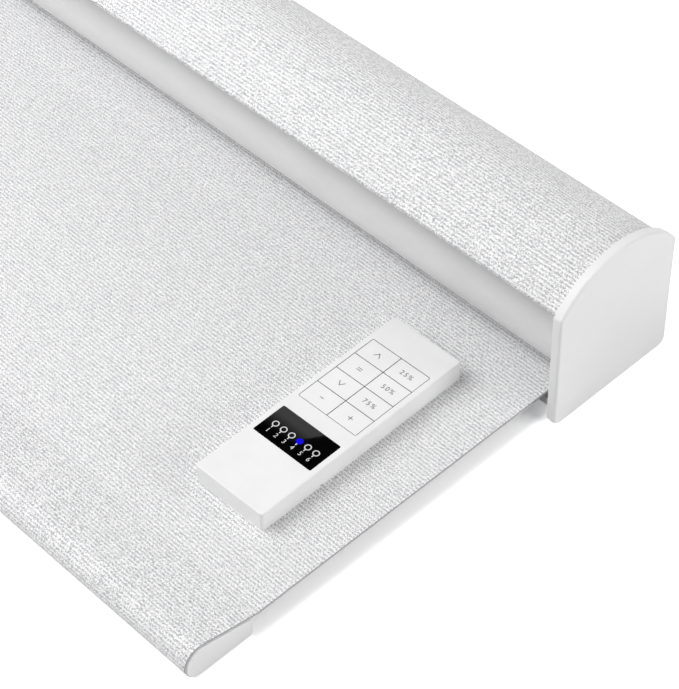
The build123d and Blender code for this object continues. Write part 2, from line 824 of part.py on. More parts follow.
# Hem caps
# Flat end caps, set into the wrapped cloth and plugged into the hollow bar.
for side, name in ((1, "hem_cap_near"), (-1, "hem_cap_far")):
    with BuildPart() as hem_cap:
        with BuildSketch(at_x(side * hem_core_end)):
            add(hem_outline(cloth_thickness + hair_gap))
        extrude(amount=side * hem_cap_plate)
        outer_face = hem_cap.faces().sort_by(Axis.X)[-1 if side > 0 else 0]
        fillet(outer_face.edges(), hem_cap_edge)
        with BuildSketch(at_x(side * hem_core_end)):
            add(hem_outline(cloth_thickness + hem_wall + fit_gap))
            with Locations((hem_tip_y - cloth_thickness, 0)):
                Rectangle(hem_web_depth + fit_gap, 2 * hem_depth, align=(Align.MAX, Align.CENTER),
                          mode=Mode.SUBTRACT)
        extrude(amount=-side * hem_cap_plug)
    keep(hem_cap.part, name)

# Cloth drop
# The free cloth, from the roll's underside to the tip of the hem bar.
with BuildPart() as cloth_drop:
    with BuildSketch(at_x(-cloth_end)):
        with Locations((roll_y, cloth_height)):
            Rectangle(roll_y - hem_tip_y + hem_tip_radius, cloth_thickness, align=(Align.MAX, Align.MIN))
        add(hem_outline(0), mode=Mode.SUBTRACT)
    extrude(amount=2 * cloth_end)
keep(cloth_drop.part, "cloth_drop")

# Handset frame
# The handset lies on the cloth, its keys towards the cassette, turned a little.
handset_x = half_length - handset_inset
handset_y = -half_height - handset_reach
handset_plane = Plane(
    origin=(handset_x, handset_y, cloth_top),
    x_dir=(cos(radians(handset_turn)), sin(radians(handset_turn)), 0),
    z_dir=(0, 0, 1),
)
handset_axis = Axis(handset_plane.origin, handset_plane.y_dir)
case_inner_width = handset_width - 2 * handset_wall
case_inner_length = handset_length - 2 * handset_wall
case_roof = handset_height - handset_wall
keypad_y = handset_length / 2 - keypad_offset - keypad_length / 2
display_y = handset_length / 2 - display_offset - display_length / 2
plate_width = case_inner_width - 2 * fit_gap
cover_start = -handset_length / 2
cover_stop = cover_start + cover_length
boss_x = case_inner_width / 2 - handset_boss_radius - handset_boss_gap
boss_places = [
    (place_x, place_y)
    for place_x in (-boss_x, boss_x)
    for place_y in (handset_length / 2 - keypad_offset / 2,
                    (keypad_y - keypad_length / 2 + display_y + display_length / 2) / 2)
]
boss_length = case_roof - base_thickness


def handset_level(height):
    """Plane across the handset at a height above its underside."""
    return handset_plane.offset(height)


# Handset case
# A moulded shell with open windows for the keypad and the display, and a small notch in
# each side at the battery cover's inner end.
with BuildPart() as handset_case:
    with BuildSketch(handset_level(0)):
        RectangleRounded(handset_width, handset_length, handset_corner)
    extrude(amount=handset_height)
    fillet(handset_case.faces().sort_by(Axis.Z)[-1].edges(), handset_edge)
    with BuildSketch(handset_level(0)):
        RectangleRounded(case_inner_width, case_inner_length, handset_inner_corner)
    extrude(amount=case_roof, mode=Mode.SUBTRACT)
    with BuildSketch(handset_level(case_roof)):
        with Locations((0, keypad_y)):
            RectangleRounded(keypad_width, keypad_length, keypad_corner)
        with Locations((0, display_y)):
            RectangleRounded(display_width - 2 * window_ledge, display_length - 2 * window_ledge,
                             display_corner)
    extrude(amount=handset_wall, mode=Mode.SUBTRACT)
    with BuildSketch(handset_level(handset_height - window_thickness)):
        with Locations((0, display_y)):
            RectangleRounded(display_width, display_length, display_corner)
    extrude(amount=window_thickness, mode=Mode.SUBTRACT)
    with BuildSketch(handset_level(base_thickness)):
        with Locations(*boss_places):
            Circle(handset_boss_radius)
    extrude(amount=boss_length)
    with BuildSketch(handset_level(base_thickness)):
        with Locations(*boss_places):
            Circle(handset_screw_radius)
    extrude(amount=boss_length - handset_boss_gap, mode=Mode.SUBTRACT)
    with BuildSketch(handset_level(0)):
        with Locations((0, cover_start)):
            Rectangle(plate_width + 2 * fit_gap, 2 * handset_wall + cell_disc_radius)
    extrude(amount=base_thickness + fit_gap, mode=Mode.SUBTRACT)
    with BuildSketch(handset_level(0)):
        with Locations((-handset_width / 2, cover_stop), (handset_width / 2, cover_stop)):
            Circle(cover_notch_radius)
    extrude(amount=base_thickness, mode=Mode.SUBTRACT)
keep(handset_case.part, "handset_case")

# Handset base
# The back plate, set flush in the case and screwed to its bosses.
underside_places = [
    handset_plane.location * Location((place_x, place_y, 0), (180, 0, 0)) for place_x, place_y in boss_places
]
with BuildPart() as handset_base:
    with BuildSketch(handset_level(0)):
        RectangleRounded(plate_width, case_inner_length - 2 * fit_gap, handset_inner_corner)
        with Locations((0, cover_stop + fit_gap)):
            Rectangle(handset_width, handset_length, align=(Align.CENTER, Align.MAX), mode=Mode.SUBTRACT)
    extrude(amount=base_thickness)
    with Locations(*underside_places):
        CounterSinkHole(handset_screw_radius + fit_gap, 2 * handset_screw_radius, base_thickness)
keep(handset_base.part, "handset_base")

# Handset screws
screw_countersink = 2 * handset_screw_radius - fit_gap
with BuildPart() as handset_screws:
    with BuildSketch(handset_level(0)):
        with Locations(*boss_places):
            Circle(handset_screw_radius - running_gap)
    extrude(amount=handset_screw_length)
    with BuildSketch(handset_level(0)):
        with Locations(*boss_places):
            Circle(screw_countersink)
    extrude(amount=screw_countersink - handset_screw_radius, taper=45)
keep(handset_screws.part, "handset_screws")

# Battery cover
# It slides out of the handset's near end, and has a finger rib.
with BuildPart() as battery_cover:
    with BuildSketch(handset_level(0)):
        with Locations((0, cover_start)):
            Rectangle(plate_width, cover_length - fit_gap, align=(Align.CENTER, Align.MIN))
    extrude(amount=base_thickness)
    near_corners = battery_cover.edges().filter_by(Axis.Z).sort_by(handset_axis)[:2]
    fillet(near_corners, handset_inner_corner)
    with BuildSketch(handset_level(0)):
        with Locations((0, cover_start + cover_grip_from_end)):
            with GridLocations(cover_grip_width, cover_grip_pitch, 1, cover_grip_lines):
                SlotOverall(cover_grip_width, cover_grip_line)
    extrude(amount=cover_grip_depth, mode=Mode.SUBTRACT)
keep(battery_cover.part, "battery_cover")

# Coin cell
cell_disc_y = cover_start + handset_wall + cover_length / 2
with BuildPart() as coin_cell:
    with BuildSketch(handset_level(base_thickness + seat_gap)):
        with Locations((0, cell_disc_y)):
            Circle(cell_disc_radius)
    extrude(amount=cell_disc_thickness)
    chamfer(coin_cell.edges(), cell_disc_edge)
keep(coin_cell.part, "coin_cell")

# Cell contacts
# Two spring strips between the cell and the board.
cell_disc_top = base_thickness + seat_gap + cell_disc_thickness
with BuildPart() as cell_contacts:
    with BuildSketch(handset_level(cell_disc_top)):
        with Locations((0, cell_disc_y)):
            Rectangle(contact_width, contact_length)
    extrude(amount=board_height - cell_disc_top)
    with BuildSketch(handset_level(base_thickness + seat_gap)):
        with Locations((cell_disc_radius + seat_gap, cell_disc_y)):
            Rectangle(side_contact_thickness, side_contact_length, align=(Align.MIN, Align.CENTER))
    extrude(amount=board_height - base_thickness - seat_gap)
keep(cell_contacts.part, "cell_contacts")

# Handset board
with BuildPart() as handset_board:
    with BuildSketch(handset_level(board_height)):
        RectangleRounded(case_inner_width - 2 * seat_gap, case_inner_length - 2 * seat_gap,
                         handset_inner_corner)
        with Locations(*boss_places):
            Circle(handset_boss_radius + hair_gap, mode=Mode.SUBTRACT)
    extrude(amount=board_thickness)
keep(handset_board.part, "handset_board")

# Key grid
key_width = (keypad_width - key_gap) / key_columns - key_gap
key_length = (keypad_length - key_gap) / key_rows - key_gap
key_names = [
    ["key_minus", "key_down", "key_stop", "key_up"],
    ["key_plus", "key_75", "key_50", "key_25"],
]
board_top = board_height + board_thickness
mat_top = board_top + mat_thickness
key_underside = handset_height - key_thickness
dome_height = key_underside - key_travel - fit_gap - mat_top

# Key mat
# A rubber sheet with one dome under each key.
with BuildPart() as key_mat:
    with BuildSketch(handset_level(board_top)):
        with Locations((0, keypad_y)):
            RectangleRounded(keypad_width, keypad_length, keypad_corner)
    extrude(amount=mat_thickness)
    with BuildSketch(handset_level(mat_top)):
        with Locations((0, keypad_y)):
            with GridLocations(key_width + key_gap, key_length + key_gap, key_columns, key_rows):
                Circle(dome_radius_under_key)
    extrude(amount=dome_height, taper=dome_taper)
keep(key_mat.part, "key_mat")

# Keys
# Flush caps that share one window. The outer corners follow the window's corners.
for column in range(key_columns):
    for row in range(key_rows):
        key_x = (column - (key_columns - 1) / 2) * (key_width + key_gap)
        key_y = keypad_y + (row - (key_rows - 1) / 2) * (key_length + key_gap)
        with BuildPart() as key:
            with BuildSketch(handset_level(key_underside)):
                with Locations((key_x, key_y)):
                    Rectangle(key_width, key_length)
                with Locations((0, keypad_y)):
                    RectangleRounded(keypad_width - 2 * key_gap, keypad_length - 2 * key_gap,
                                     keypad_corner - key_gap, mode=Mode.INTERSECT)
            extrude(amount=key_thickness)
            chamfer(key.faces().sort_by(Axis.Z)[-1].edges(), key_edge)
        keep(key.part, key_names[column][row])

# Display window
with BuildPart() as display_window:
    with BuildSketch(handset_level(handset_height - window_thickness)):
        with Locations((0, display_y)):
            RectangleRounded(display_width - 2 * running_gap, display_length - 2 * running_gap,
                             display_corner - running_gap)
    extrude(amount=window_thickness - running_gap)
keep(display_window.part, "display_window")

# Channel lights
# One lamp on the board under each ring of the display.
with BuildPart() as channel_lights:
    with BuildSketch(handset_level(board_top)):
        with Locations((0, display_y)):
            with GridLocations(led_pitch, led_size, led_count, 1):
                Rectangle(led_size, led_size)
    extrude(amount=led_height)
keep(channel_lights.part, "channel_lights")
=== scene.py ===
import math

import bmesh
import bpy
from mathutils import Matrix, Vector
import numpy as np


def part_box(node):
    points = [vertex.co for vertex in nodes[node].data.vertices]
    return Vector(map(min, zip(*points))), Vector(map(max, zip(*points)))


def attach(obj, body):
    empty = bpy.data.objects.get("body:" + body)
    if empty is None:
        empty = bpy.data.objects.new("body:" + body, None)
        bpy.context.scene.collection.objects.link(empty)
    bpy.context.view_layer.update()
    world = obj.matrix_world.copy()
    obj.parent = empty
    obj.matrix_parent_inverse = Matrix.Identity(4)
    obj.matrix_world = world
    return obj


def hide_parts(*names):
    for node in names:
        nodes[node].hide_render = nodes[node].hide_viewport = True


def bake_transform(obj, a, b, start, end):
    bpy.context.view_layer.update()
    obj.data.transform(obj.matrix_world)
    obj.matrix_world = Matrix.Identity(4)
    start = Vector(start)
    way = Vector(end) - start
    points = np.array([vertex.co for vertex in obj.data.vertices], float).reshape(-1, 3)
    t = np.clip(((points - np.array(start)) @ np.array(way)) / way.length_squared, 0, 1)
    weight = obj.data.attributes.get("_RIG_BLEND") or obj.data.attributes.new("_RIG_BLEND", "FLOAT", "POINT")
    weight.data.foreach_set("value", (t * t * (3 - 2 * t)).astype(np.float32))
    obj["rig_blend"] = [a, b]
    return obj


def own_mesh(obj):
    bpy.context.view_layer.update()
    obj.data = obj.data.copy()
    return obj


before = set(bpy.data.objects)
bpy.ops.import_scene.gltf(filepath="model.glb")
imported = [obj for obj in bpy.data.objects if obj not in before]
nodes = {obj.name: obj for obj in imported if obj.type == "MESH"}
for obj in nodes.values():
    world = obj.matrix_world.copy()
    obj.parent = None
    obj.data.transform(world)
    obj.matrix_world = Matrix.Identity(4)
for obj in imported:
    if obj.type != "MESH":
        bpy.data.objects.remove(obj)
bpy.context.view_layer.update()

# Headrail, fascia panel, roller tube and hem bar
# The blind's aluminium extrusions, cut to length. They are etched and satin anodised, which
# leaves a soft grey metal with faint die lines along the length.
mm = 0.001


def linear(hex_colour):
    """An sRGB hex colour as the linear colour that a shader takes."""
    channels = [int(hex_colour[at:at + 2], 16) / 255 for at in (1, 3, 5)]
    return [c / 12.92 if c <= 0.04045 else ((c + 0.055) / 1.055) ** 2.4 for c in channels] + [1.0]


def add_node(tree, kind, inputs, **settings):
    """One shader node: its settings, and each input's value or the output that feeds it."""
    node = tree.nodes.new(kind)
    for name, value in settings.items():
        setattr(node, name, value)
    for name, value in inputs.items():
        if isinstance(value, bpy.types.NodeSocket):
            tree.links.new(value, node.inputs[name])
        else:
            node.inputs[name].default_value = value
    return node


def start_finish(name, colour, roughness, metallic=0.0, **more):
    """A named finish with one shader, whose steady values are set on the shader itself."""
    finish = bpy.data.materials.new(name)
    finish.use_nodes = True
    shader = finish.node_tree.nodes["Principled BSDF"]
    shader.inputs["Base Color"].default_value = linear(colour)
    shader.inputs["Roughness"].default_value = roughness
    shader.inputs["Metallic"].default_value = metallic
    for socket, value in more.items():
        shader.inputs[socket.replace("_", " ")].default_value = value
    return finish, finish.node_tree, shader


def grain(tree, size, stretch=(1, 1, 1), detail=2.0, source="Object"):
    """Noise whose grains are about size metres across, stretched along the axes."""
    place = add_node(tree, "ShaderNodeTexCoord", {})
    # An unrolled map lies on the noise's zero plane, where the noise is flat, so it is lifted.
    lift = 0.5 if source == "UV" else 0
    scaled = add_node(tree, "ShaderNodeMapping", {
        "Vector": place.outputs[source],
        "Location": (0, 0, lift),
        "Scale": [1 / (size * factor) for factor in stretch],
    })
    return add_node(tree, "ShaderNodeTexNoise", {
        "Vector": scaled.outputs["Vector"], "Scale": 1.0, "Detail": detail,
    }).outputs["Fac"]


def vary_colour(tree, shader, dark, light, amount, low=0.35, high=0.65):
    """Feeds the shader's colour from dark to light as amount goes from low to high."""
    share = add_node(tree, "ShaderNodeMapRange", {
        "Value": amount, "From Min": low, "From Max": high,
    })
    # The Mix node's two colours are its inputs 6 and 7, and the mixed one its output 2.
    mix = add_node(tree, "ShaderNodeMix", {
        "Factor": share.outputs["Result"], 6: linear(dark), 7: linear(light),
    }, data_type="RGBA")
    tree.links.new(mix.outputs[2], shader.inputs["Base Color"])


def raise_surface(tree, shader, height, depth, strength):
    """Feeds the shader a bump of a real depth in metres."""
    bump = add_node(tree, "ShaderNodeBump", {
        "Height": height, "Distance": depth, "Strength": strength,
    })
    tree.links.new(bump.outputs["Normal"], shader.inputs["Normal"])


def dress(finish, *names):
    """Gives the finish to carried-over pieces."""
    for name in names:
        nodes[name].material_slots[0].material = finish


anodised_aluminium, tree, shader = start_finish(
    "anodised_aluminium", "#D8D9DA", roughness=0.5, metallic=0.6)
die_lines = grain(tree, 0.25 * mm, stretch=(400, 1, 1))
vary_colour(tree, shader, "#CECFD1", "#E0E1E2", die_lines)
raise_surface(tree, shader, die_lines, depth=0.01 * mm, strength=0.4)
dress(anodised_aluminium, "headrail", "fascia_panel", "roller_tube", "hem_bar")

# End plates, screws and mounting clips
# Pressed and turned steel, zinc plated and passivated: cool grey with a soft cloudy
# spangle.
zinc_plate, tree, shader = start_finish(
    "zinc_plated_steel", "#B9BCC1", roughness=0.32, metallic=1.0)
spangle = grain(tree, 4 * mm, detail=4)
vary_colour(tree, shader, "#A9ADB4", "#C6C9CC", spangle)
raise_surface(tree, shader, grain(tree, 0.3 * mm), depth=0.01 * mm, strength=0.5)
dress(zinc_plate, "end_plate_near", "end_plate_far", "end_plate_screws", "motor_screws",
      "mounting_clip_near", "mounting_clip_far", "handset_screws", "shaft_clip", "output_shaft",
      "idle_pin")

# End caps
# Injection moulded white ABS. The tool was spark eroded, so the face is a fine satin
# with no gloss streaks.
white_abs, tree, shader = start_finish("satin_white_abs", "#F0F0F0", roughness=0.45)
vary_colour(tree, shader, "#EFEFEF", "#F1F1F1", grain(tree, 40 * mm))
raise_surface(tree, shader, grain(tree, 0.25 * mm), depth=0.004 * mm, strength=0.4)
dress(white_abs, "end_cap_near", "end_cap_far", "hem_cap_near", "hem_cap_far")

# Motor head, crown, drive wheel, idle plug, idle bush and splines
# Glass filled nylon, moulded dark grey and slightly mottled by the fibres. The two splines
# that hold the cloth in its grooves are of the same plastic.
grey_nylon, tree, shader = start_finish("glass_filled_nylon", "#6E7275", roughness=0.55)
fibres = grain(tree, 1.2 * mm, stretch=(3, 1, 1), detail=4)
vary_colour(tree, shader, "#65696C", "#787C7F", fibres)
raise_surface(tree, shader, fibres, depth=0.02 * mm, strength=0.5)
dress(grey_nylon, "motor_head", "crown", "drive_wheel", "idle_plug", "idle_bush", "tube_spline",
      "hem_spline")

# Motor housing, gearbox and drive motor
# Drawn steel tubes with a phosphate finish, darker than the zinc plated plates. The draw
# lines run along them.
motor_steel, tree, shader = start_finish(
    "phosphated_steel_tube", "#7C8084", roughness=0.42, metallic=1.0)
draw_lines = grain(tree, 0.3 * mm, stretch=(300, 1, 1))
vary_colour(tree, shader, "#707478", "#8A8E92", draw_lines)
raise_surface(tree, shader, draw_lines, depth=0.01 * mm, strength=0.4)
dress(motor_steel, "motor_housing", "gearbox", "drive_motor")

# Charging socket, contacts and coin cell
# Nickel plated steel strip, stamped and drawn to shape, which stays bright but a little
# hazy.
nickel, tree, shader = start_finish("nickel_plated_strip", "#CFCAC2", roughness=0.22, metallic=1.0)
haze = grain(tree, 2 * mm, detail=3)
vary_colour(tree, shader, "#C4BFB7", "#DAD6CE", haze)
raise_surface(tree, shader, grain(tree, 0.2 * mm), depth=0.004 * mm, strength=0.5)
dress(nickel, "charging_socket", "cell_contacts", "coin_cell")

# Idle spring
# Hard drawn spring wire, oiled, with drawing marks along it, wound in six open turns
# between the plug and the pin's collar. It is carried with the roller.
spring_wire, tree, shader = start_finish(
    "oiled_spring_wire", "#8F9296", roughness=0.3, metallic=1.0)
wire_marks = grain(tree, 0.15 * mm, detail=3)
vary_colour(tree, shader, "#82858A", "#9EA1A5", wire_marks)
raise_surface(tree, shader, wire_marks, depth=0.005 * mm, strength=0.4)
spring_low, spring_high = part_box("idle_spring")
spring_axis = ((spring_low + spring_high) / 2).yz
spring_turns = 6
steps_per_turn = 24
spring_steps = steps_per_turn * spring_turns
wire_radius = 0.4 * mm
wire_sides = 8


def make_object(shape, name, *finishes):
    """Turns a finished bmesh into an object of the scene, with its finishes in their order."""
    mesh = bpy.data.meshes.new(name)
    shape.to_mesh(mesh)
    shape.free()
    for finish in finishes:
        mesh.materials.append(finish)
    made = bpy.data.objects.new(name, mesh)
    bpy.context.scene.collection.objects.link(made)
    return made


coil = bmesh.new()
section = bmesh.ops.create_circle(coil, radius=wire_radius, segments=wire_sides)["verts"]
bmesh.ops.rotate(coil, verts=section, matrix=Matrix.Rotation(math.pi / 2, 3, "X"))
bmesh.ops.translate(coil, verts=section, vec=(
    spring_low.x + wire_radius, spring_axis.x, spring_high.z - wire_radius))
spring_rise = spring_high.x - spring_low.x - 2 * wire_radius
bmesh.ops.spin(
    coil, geom=list(coil.edges), cent=(0, *spring_axis), axis=(1, 0, 0),
    dvec=(spring_rise / spring_steps, 0, 0), angle=math.tau * spring_turns, steps=spring_steps)
bmesh.ops.holes_fill(coil, edges=[edge for edge in coil.edges if edge.is_boundary])
bmesh.ops.recalc_face_normals(coil, faces=coil.faces)
# The wire is smooth, and only its two cut ends, which have more corners, stay flat.
for face in coil.faces:
    face.smooth = len(face.verts) == 4
idle_coil = make_object(coil, "idle_coil", spring_wire)
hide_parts("idle_spring")
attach(idle_coil, "roller")
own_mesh(idle_coil)

# Setting button
# A small glossy button in the motor head, moulded from red acetal, which leaves a faint
# grain on it.
red_acetal, tree, shader = start_finish("red_acetal", "#B5261E", roughness=0.25)
vary_colour(tree, shader, "#AC221B", "#BE2B22", grain(tree, 1 * mm))
raise_surface(tree, shader, grain(tree, 0.2 * mm), depth=0.004 * mm, strength=0.4)
dress(red_acetal, "setting_button")

# Circuit boards
# Glass epoxy laminate, routed to shape, under green solder mask that lets the glass weave
# just show.
solder_mask, tree, shader = start_finish("green_solder_mask", "#1E5B38", roughness=0.35)
laminate = grain(tree, 0.5 * mm, stretch=(1, 4, 1))
vary_colour(tree, shader, "#1A5232", "#246640", laminate)
raise_surface(tree, shader, laminate, depth=0.01 * mm, strength=0.5)
dress(solder_mask, "control_board", "handset_board")

# Battery cells
# Rechargeable cells in a heat shrunk blue sleeve, which holds them together and is left
# with faint ripples.
shrink_sleeve, tree, shader = start_finish("blue_shrink_sleeve", "#2B5C86", roughness=0.3)
ripples = grain(tree, 3 * mm, stretch=(4, 1, 1))
vary_colour(tree, shader, "#27547B", "#316792", ripples)
raise_surface(tree, shader, ripples, depth=0.05 * mm, strength=0.5)
dress(shrink_sleeve, "battery_cells")

# Fascia cloth
# The blind's own polyester cloth, bonded over the curved panel and turned under its
# lower edge. It is woven with slub yarns that lie along the roller. Its colour is partly
# the yarns' own tone and partly painted: painted shade in the fine dark gaps between the
# rows, and painted glints on the short bright dashes.
cloth_thickness = 0.5 * mm
shade_strip_width = 0.8 * mm
# The yarns are too fine to show at the picture's size, so their rows are drawn this coarse.
row_pitch = 2.2 * mm
row_share = 0.18
fleck_stretch = (0.5, 0.36, 1)
# At this scale the wave node draws one band to each unit of its coordinate.
one_band = math.tau / 20


def woven_cloth(name, source):
    """Slub weave with its rows along the first axis of the source coordinates."""
    finish, tree, shader = start_finish(
        name, "#DCDCDE", roughness=0.6, Sheen_Weight=0.15, Sheen_Roughness=0.4)
    place = add_node(tree, "ShaderNodeTexCoord", {})
    in_rows = add_node(tree, "ShaderNodeMapping", {
        "Vector": place.outputs[source], "Scale": [1 / row_pitch, 1 / row_pitch, 1 / row_pitch],
    })
    rows = add_node(tree, "ShaderNodeTexWave", {
        "Vector": in_rows.outputs["Vector"], "Scale": one_band, "Distortion": 0.0,
    }, wave_type="BANDS", bands_direction="Y", wave_profile="SIN")
    flecks = grain(tree, row_pitch / 2, stretch=fleck_stretch, detail=0.0, source=source)
    relief = add_node(tree, "ShaderNodeMath", {
        0: rows.outputs["Fac"], 1: row_share, 2: flecks,
    }, operation="MULTIPLY_ADD").outputs["Value"]
    # The colour follows the relief. The dark grey in the low gaps between the rows is painted shade, the
    # white on the raised flecks is painted glints, and the slubs' own tone lies between.
    vary_colour(tree, shader, "#B2B2B6", "#FFFFFF", relief, low=0.5, high=0.625)
    raise_surface(tree, shader, relief, depth=0.3 * mm, strength=0.8)
    return finish


def start_edge(sheet, reach, columns, y, z):
    """A row of edges along the roller, with a narrow one at each end for the strip of painted edge shade."""
    stops = (-reach, shade_strip_width - reach, reach - shade_strip_width, reach)
    corners = [sheet.verts.new((x, y, z)) for x in stops]
    edges = [sheet.edges.new(corners[at:at + 2]) for at in range(3)]
    bmesh.ops.subdivide_edges(sheet, edges=edges[1:2], cuts=columns - 1)
    return list(sheet.edges)


def stamp_run(sheet, edges, run):
    """Notes on the row's vertices how far along the cloth they lie."""
    layer = sheet.verts.layers.float["run"]
    for edge in edges:
        for vert in edge.verts:
            vert[layer] = run


def lay_straight(sheet, edges, dy, dz, run, steps=1):
    """Lays the sheet on in a straight line, and returns its last row and its length."""
    for step in range(steps):
        laid = bmesh.ops.extrude_edge_only(sheet, edges=edges)["geom"]
        row = [part for part in laid if isinstance(part, bmesh.types.BMVert)]
        bmesh.ops.translate(sheet, verts=row, vec=(0, dy / steps, dz / steps))
        edges = [part for part in laid if isinstance(part, bmesh.types.BMEdge)]
        edges = [edge for edge in edges if edge.verts[0] in row and edge.verts[1] in row]
        run += math.hypot(dy, dz) / steps
        stamp_run(sheet, edges, run)
    return edges, run


def lay_arc(sheet, edges, centre, angle, run, steps):
    """Lays the sheet on round a centre, and returns its last row and its length."""
    vert = edges[0].verts[0].co
    radius = math.hypot(vert.y - centre[0], vert.z - centre[1])
    for step in range(steps):
        turned = bmesh.ops.spin(sheet, geom=edges, cent=(0, *centre), axis=(1, 0, 0),
                                angle=angle / steps, steps=1)["geom_last"]
        edges = [part for part in turned if isinstance(part, bmesh.types.BMEdge)]
        run += radius * abs(angle) / steps
        stamp_run(sheet, edges, run)
    return edges, run


def finish_sheet(sheet, name, front, back, outward):
    """Turns the laid sheet into a piece with its thickness and its unrolled UV map."""
    bmesh.ops.recalc_face_normals(sheet, faces=sheet.faces)
    if sheet.faces[0].normal.dot(Vector(outward)) < 0:
        bmesh.ops.reverse_faces(sheet, faces=sheet.faces)
    layer = sheet.verts.layers.float["run"]
    unrolled = sheet.loops.layers.uv.new("unrolled")
    for face in sheet.faces:
        face.smooth = True
        for loop in face.loops:
            loop[unrolled].uv = (loop.vert.co.x, -loop.vert[layer])
    piece = make_object(sheet, name, front, back, painted_edge_shade)
    # The wall's inner side takes the next finish, and its rim the one after, the painted edge shade.
    wall = piece.modifiers.new("wall", "SOLIDIFY")
    wall.thickness = cloth_thickness
    wall.offset = -1
    wall.material_offset = 1
    wall.material_offset_rim = 2
    return piece


def new_sheet():
    """An empty sheet that can note how far along the cloth each vertex lies."""
    sheet = bmesh.new()
    sheet.verts.layers.float.new("run")
    return sheet


cloth_back, tree, shader = start_finish("acrylic_coated_back", "#E3E3E3", roughness=0.6)
coating = grain(tree, 12 * mm, stretch=(3, 1, 1), detail=3)
vary_colour(tree, shader, "#E1E1E1", "#E5E5E5", coating)
raise_surface(tree, shader, grain(tree, 0.4 * mm), depth=0.01 * mm, strength=0.5)

# Cut edges: a darker grey on the cloth's rims and on a narrow strip along each side. It is painted shade,
# standing in for the shadow along the cloth's edge.
painted_edge_shade, tree, shader = start_finish("painted_shade_cut_edge", "#A0A0A4", roughness=0.7)
vary_colour(tree, shader, "#94949A", "#ACACB0", grain(tree, 0.6 * mm))
raise_surface(tree, shader, grain(tree, 0.4 * mm), depth=0.1 * mm, strength=0.5)

weave_unrolled = woven_cloth("slub_weave_painted_glints", "UV")

skin_low, skin_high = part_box("fascia_cloth")
skin_half = skin_high.y
skin_rise = skin_high.z - skin_low.z
skin_radius = (skin_half ** 2 + skin_rise ** 2) / (2 * skin_rise)
skin_centre = (0, skin_high.z - skin_radius)
skin_angle = 2 * math.asin(skin_half / skin_radius)
turn_radius = 0.6 * mm
turned_under = 4 * mm
sheet = new_sheet()
row = start_edge(sheet, skin_high.x, columns=8, y=skin_half, z=skin_low.z)
row, run = lay_arc(sheet, row, skin_centre, skin_angle, run=0.0, steps=48)
row, run = lay_straight(sheet, row, turn_radius, -turn_radius, run)
row, run = lay_straight(sheet, row, turned_under, 0, run)
fascia_skin = finish_sheet(sheet, "fascia_skin", weave_unrolled, cloth_back, (0, 1, 1))
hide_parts("fascia_cloth")
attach(fascia_skin, "cassette")

# Wound cloth
# The rest of the cloth on the roller: one strip, wound back side out, so its smooth
# acrylic coating is what shows as the plain band under the fascia.
roll_low, roll_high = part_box("cloth_roll")
roll_radius = (roll_high.z - roll_low.z) / 2
roll_y = roll_high.y - roll_radius
roll_z = roll_low.z + roll_radius
tube_radius = (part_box("roller_tube")[1].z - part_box("roller_tube")[0].z) / 2
tube_gap = 0.05 * mm
roll_turns = 7
roll_pitch = (roll_radius - tube_radius - tube_gap - cloth_thickness) / roll_turns
sheet = new_sheet()
row = start_edge(sheet, roll_high.x, columns=4, y=roll_y, z=roll_low.z)
run = 0.0
for half_turn in range(2 * roll_turns + 1):
    centre_z = roll_z if half_turn % 2 == 0 else roll_z + roll_pitch / 2
    row, run = lay_arc(sheet, row, (roll_y, centre_z), math.pi, run, steps=28)
wound_cloth = finish_sheet(sheet, "wound_cloth", cloth_back, weave_unrolled, (0, 0, -1))
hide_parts("cloth_roll")
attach(wound_cloth, "roller")

# Drawn cloth
# The cloth that leaves the roll lies flat to the hem bar, runs up over the bar's sloping
# top, round its nose and back beneath it, and ends in the groove at the bar's tip.
weave_level = woven_cloth("slub_weave_painted_glints_level", "Object")
hem_low, hem_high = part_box("hem_cloth")
nose_radius = 10 * mm
tip_radius = 3 * mm
tip_height = 12.7 * mm
bend_radius = 15 * mm
groove_height = 5.1 * mm
tip_y = hem_high.y
nose_y = hem_low.y + nose_radius
nose_to_tip = Vector((tip_y - nose_y, tip_height - nose_radius))
touch_angle = (math.atan2(nose_to_tip.y, nose_to_tip.x)
               + math.acos(nose_radius / nose_to_tip.length))
slope = math.pi / 2 - touch_angle
touch_y = nose_y + nose_radius * math.cos(touch_angle)
touch_z = nose_radius * (1 + math.sin(touch_angle))
cloth_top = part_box("cloth_drop")[1].z
cloth_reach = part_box("cloth_drop")[1].x
fold_y = touch_y + (touch_z - cloth_top) / math.tan(slope)
bend_length = bend_radius * math.tan(slope / 2)
slope_length = (touch_z - cloth_top) / math.sin(slope) - bend_length
sheet = new_sheet()
row = start_edge(sheet, cloth_reach, columns=12, y=roll_y, z=cloth_top)
# The run starts so that the unrolled map equals the Object coordinates of the level part.
row, run = lay_straight(sheet, row, fold_y + bend_length - roll_y, 0, run=-roll_y, steps=64)
row, run = lay_arc(
    sheet, row, (fold_y + bend_length, cloth_top + bend_radius), -slope, run, steps=6)
level_faces = len(sheet.faces)
row, run = lay_straight(
    sheet, row, -slope_length * math.cos(slope), slope_length * math.sin(slope), run, steps=8)
row, run = lay_arc(sheet, row, (nose_y, nose_radius), 1.5 * math.pi - touch_angle, run, steps=32)
row, run = lay_straight(sheet, row, tip_y - tip_radius - nose_y, 0, run, steps=8)
row, run = lay_arc(sheet, row, (tip_y - tip_radius, tip_radius), math.pi / 2, run, steps=8)
row, run = lay_straight(sheet, row, 0, groove_height - tip_radius, run)
drawn_cloth = finish_sheet(sheet, "drawn_cloth", weave_level, cloth_back, (0, 0, 1))
shade_strip_slot = 2
unrolled_slot = 3
for finish in (weave_unrolled, cloth_back, painted_edge_shade):
    drawn_cloth.data.materials.append(finish)
for face in drawn_cloth.data.polygons[level_faces:]:
    face.material_index = unrolled_slot
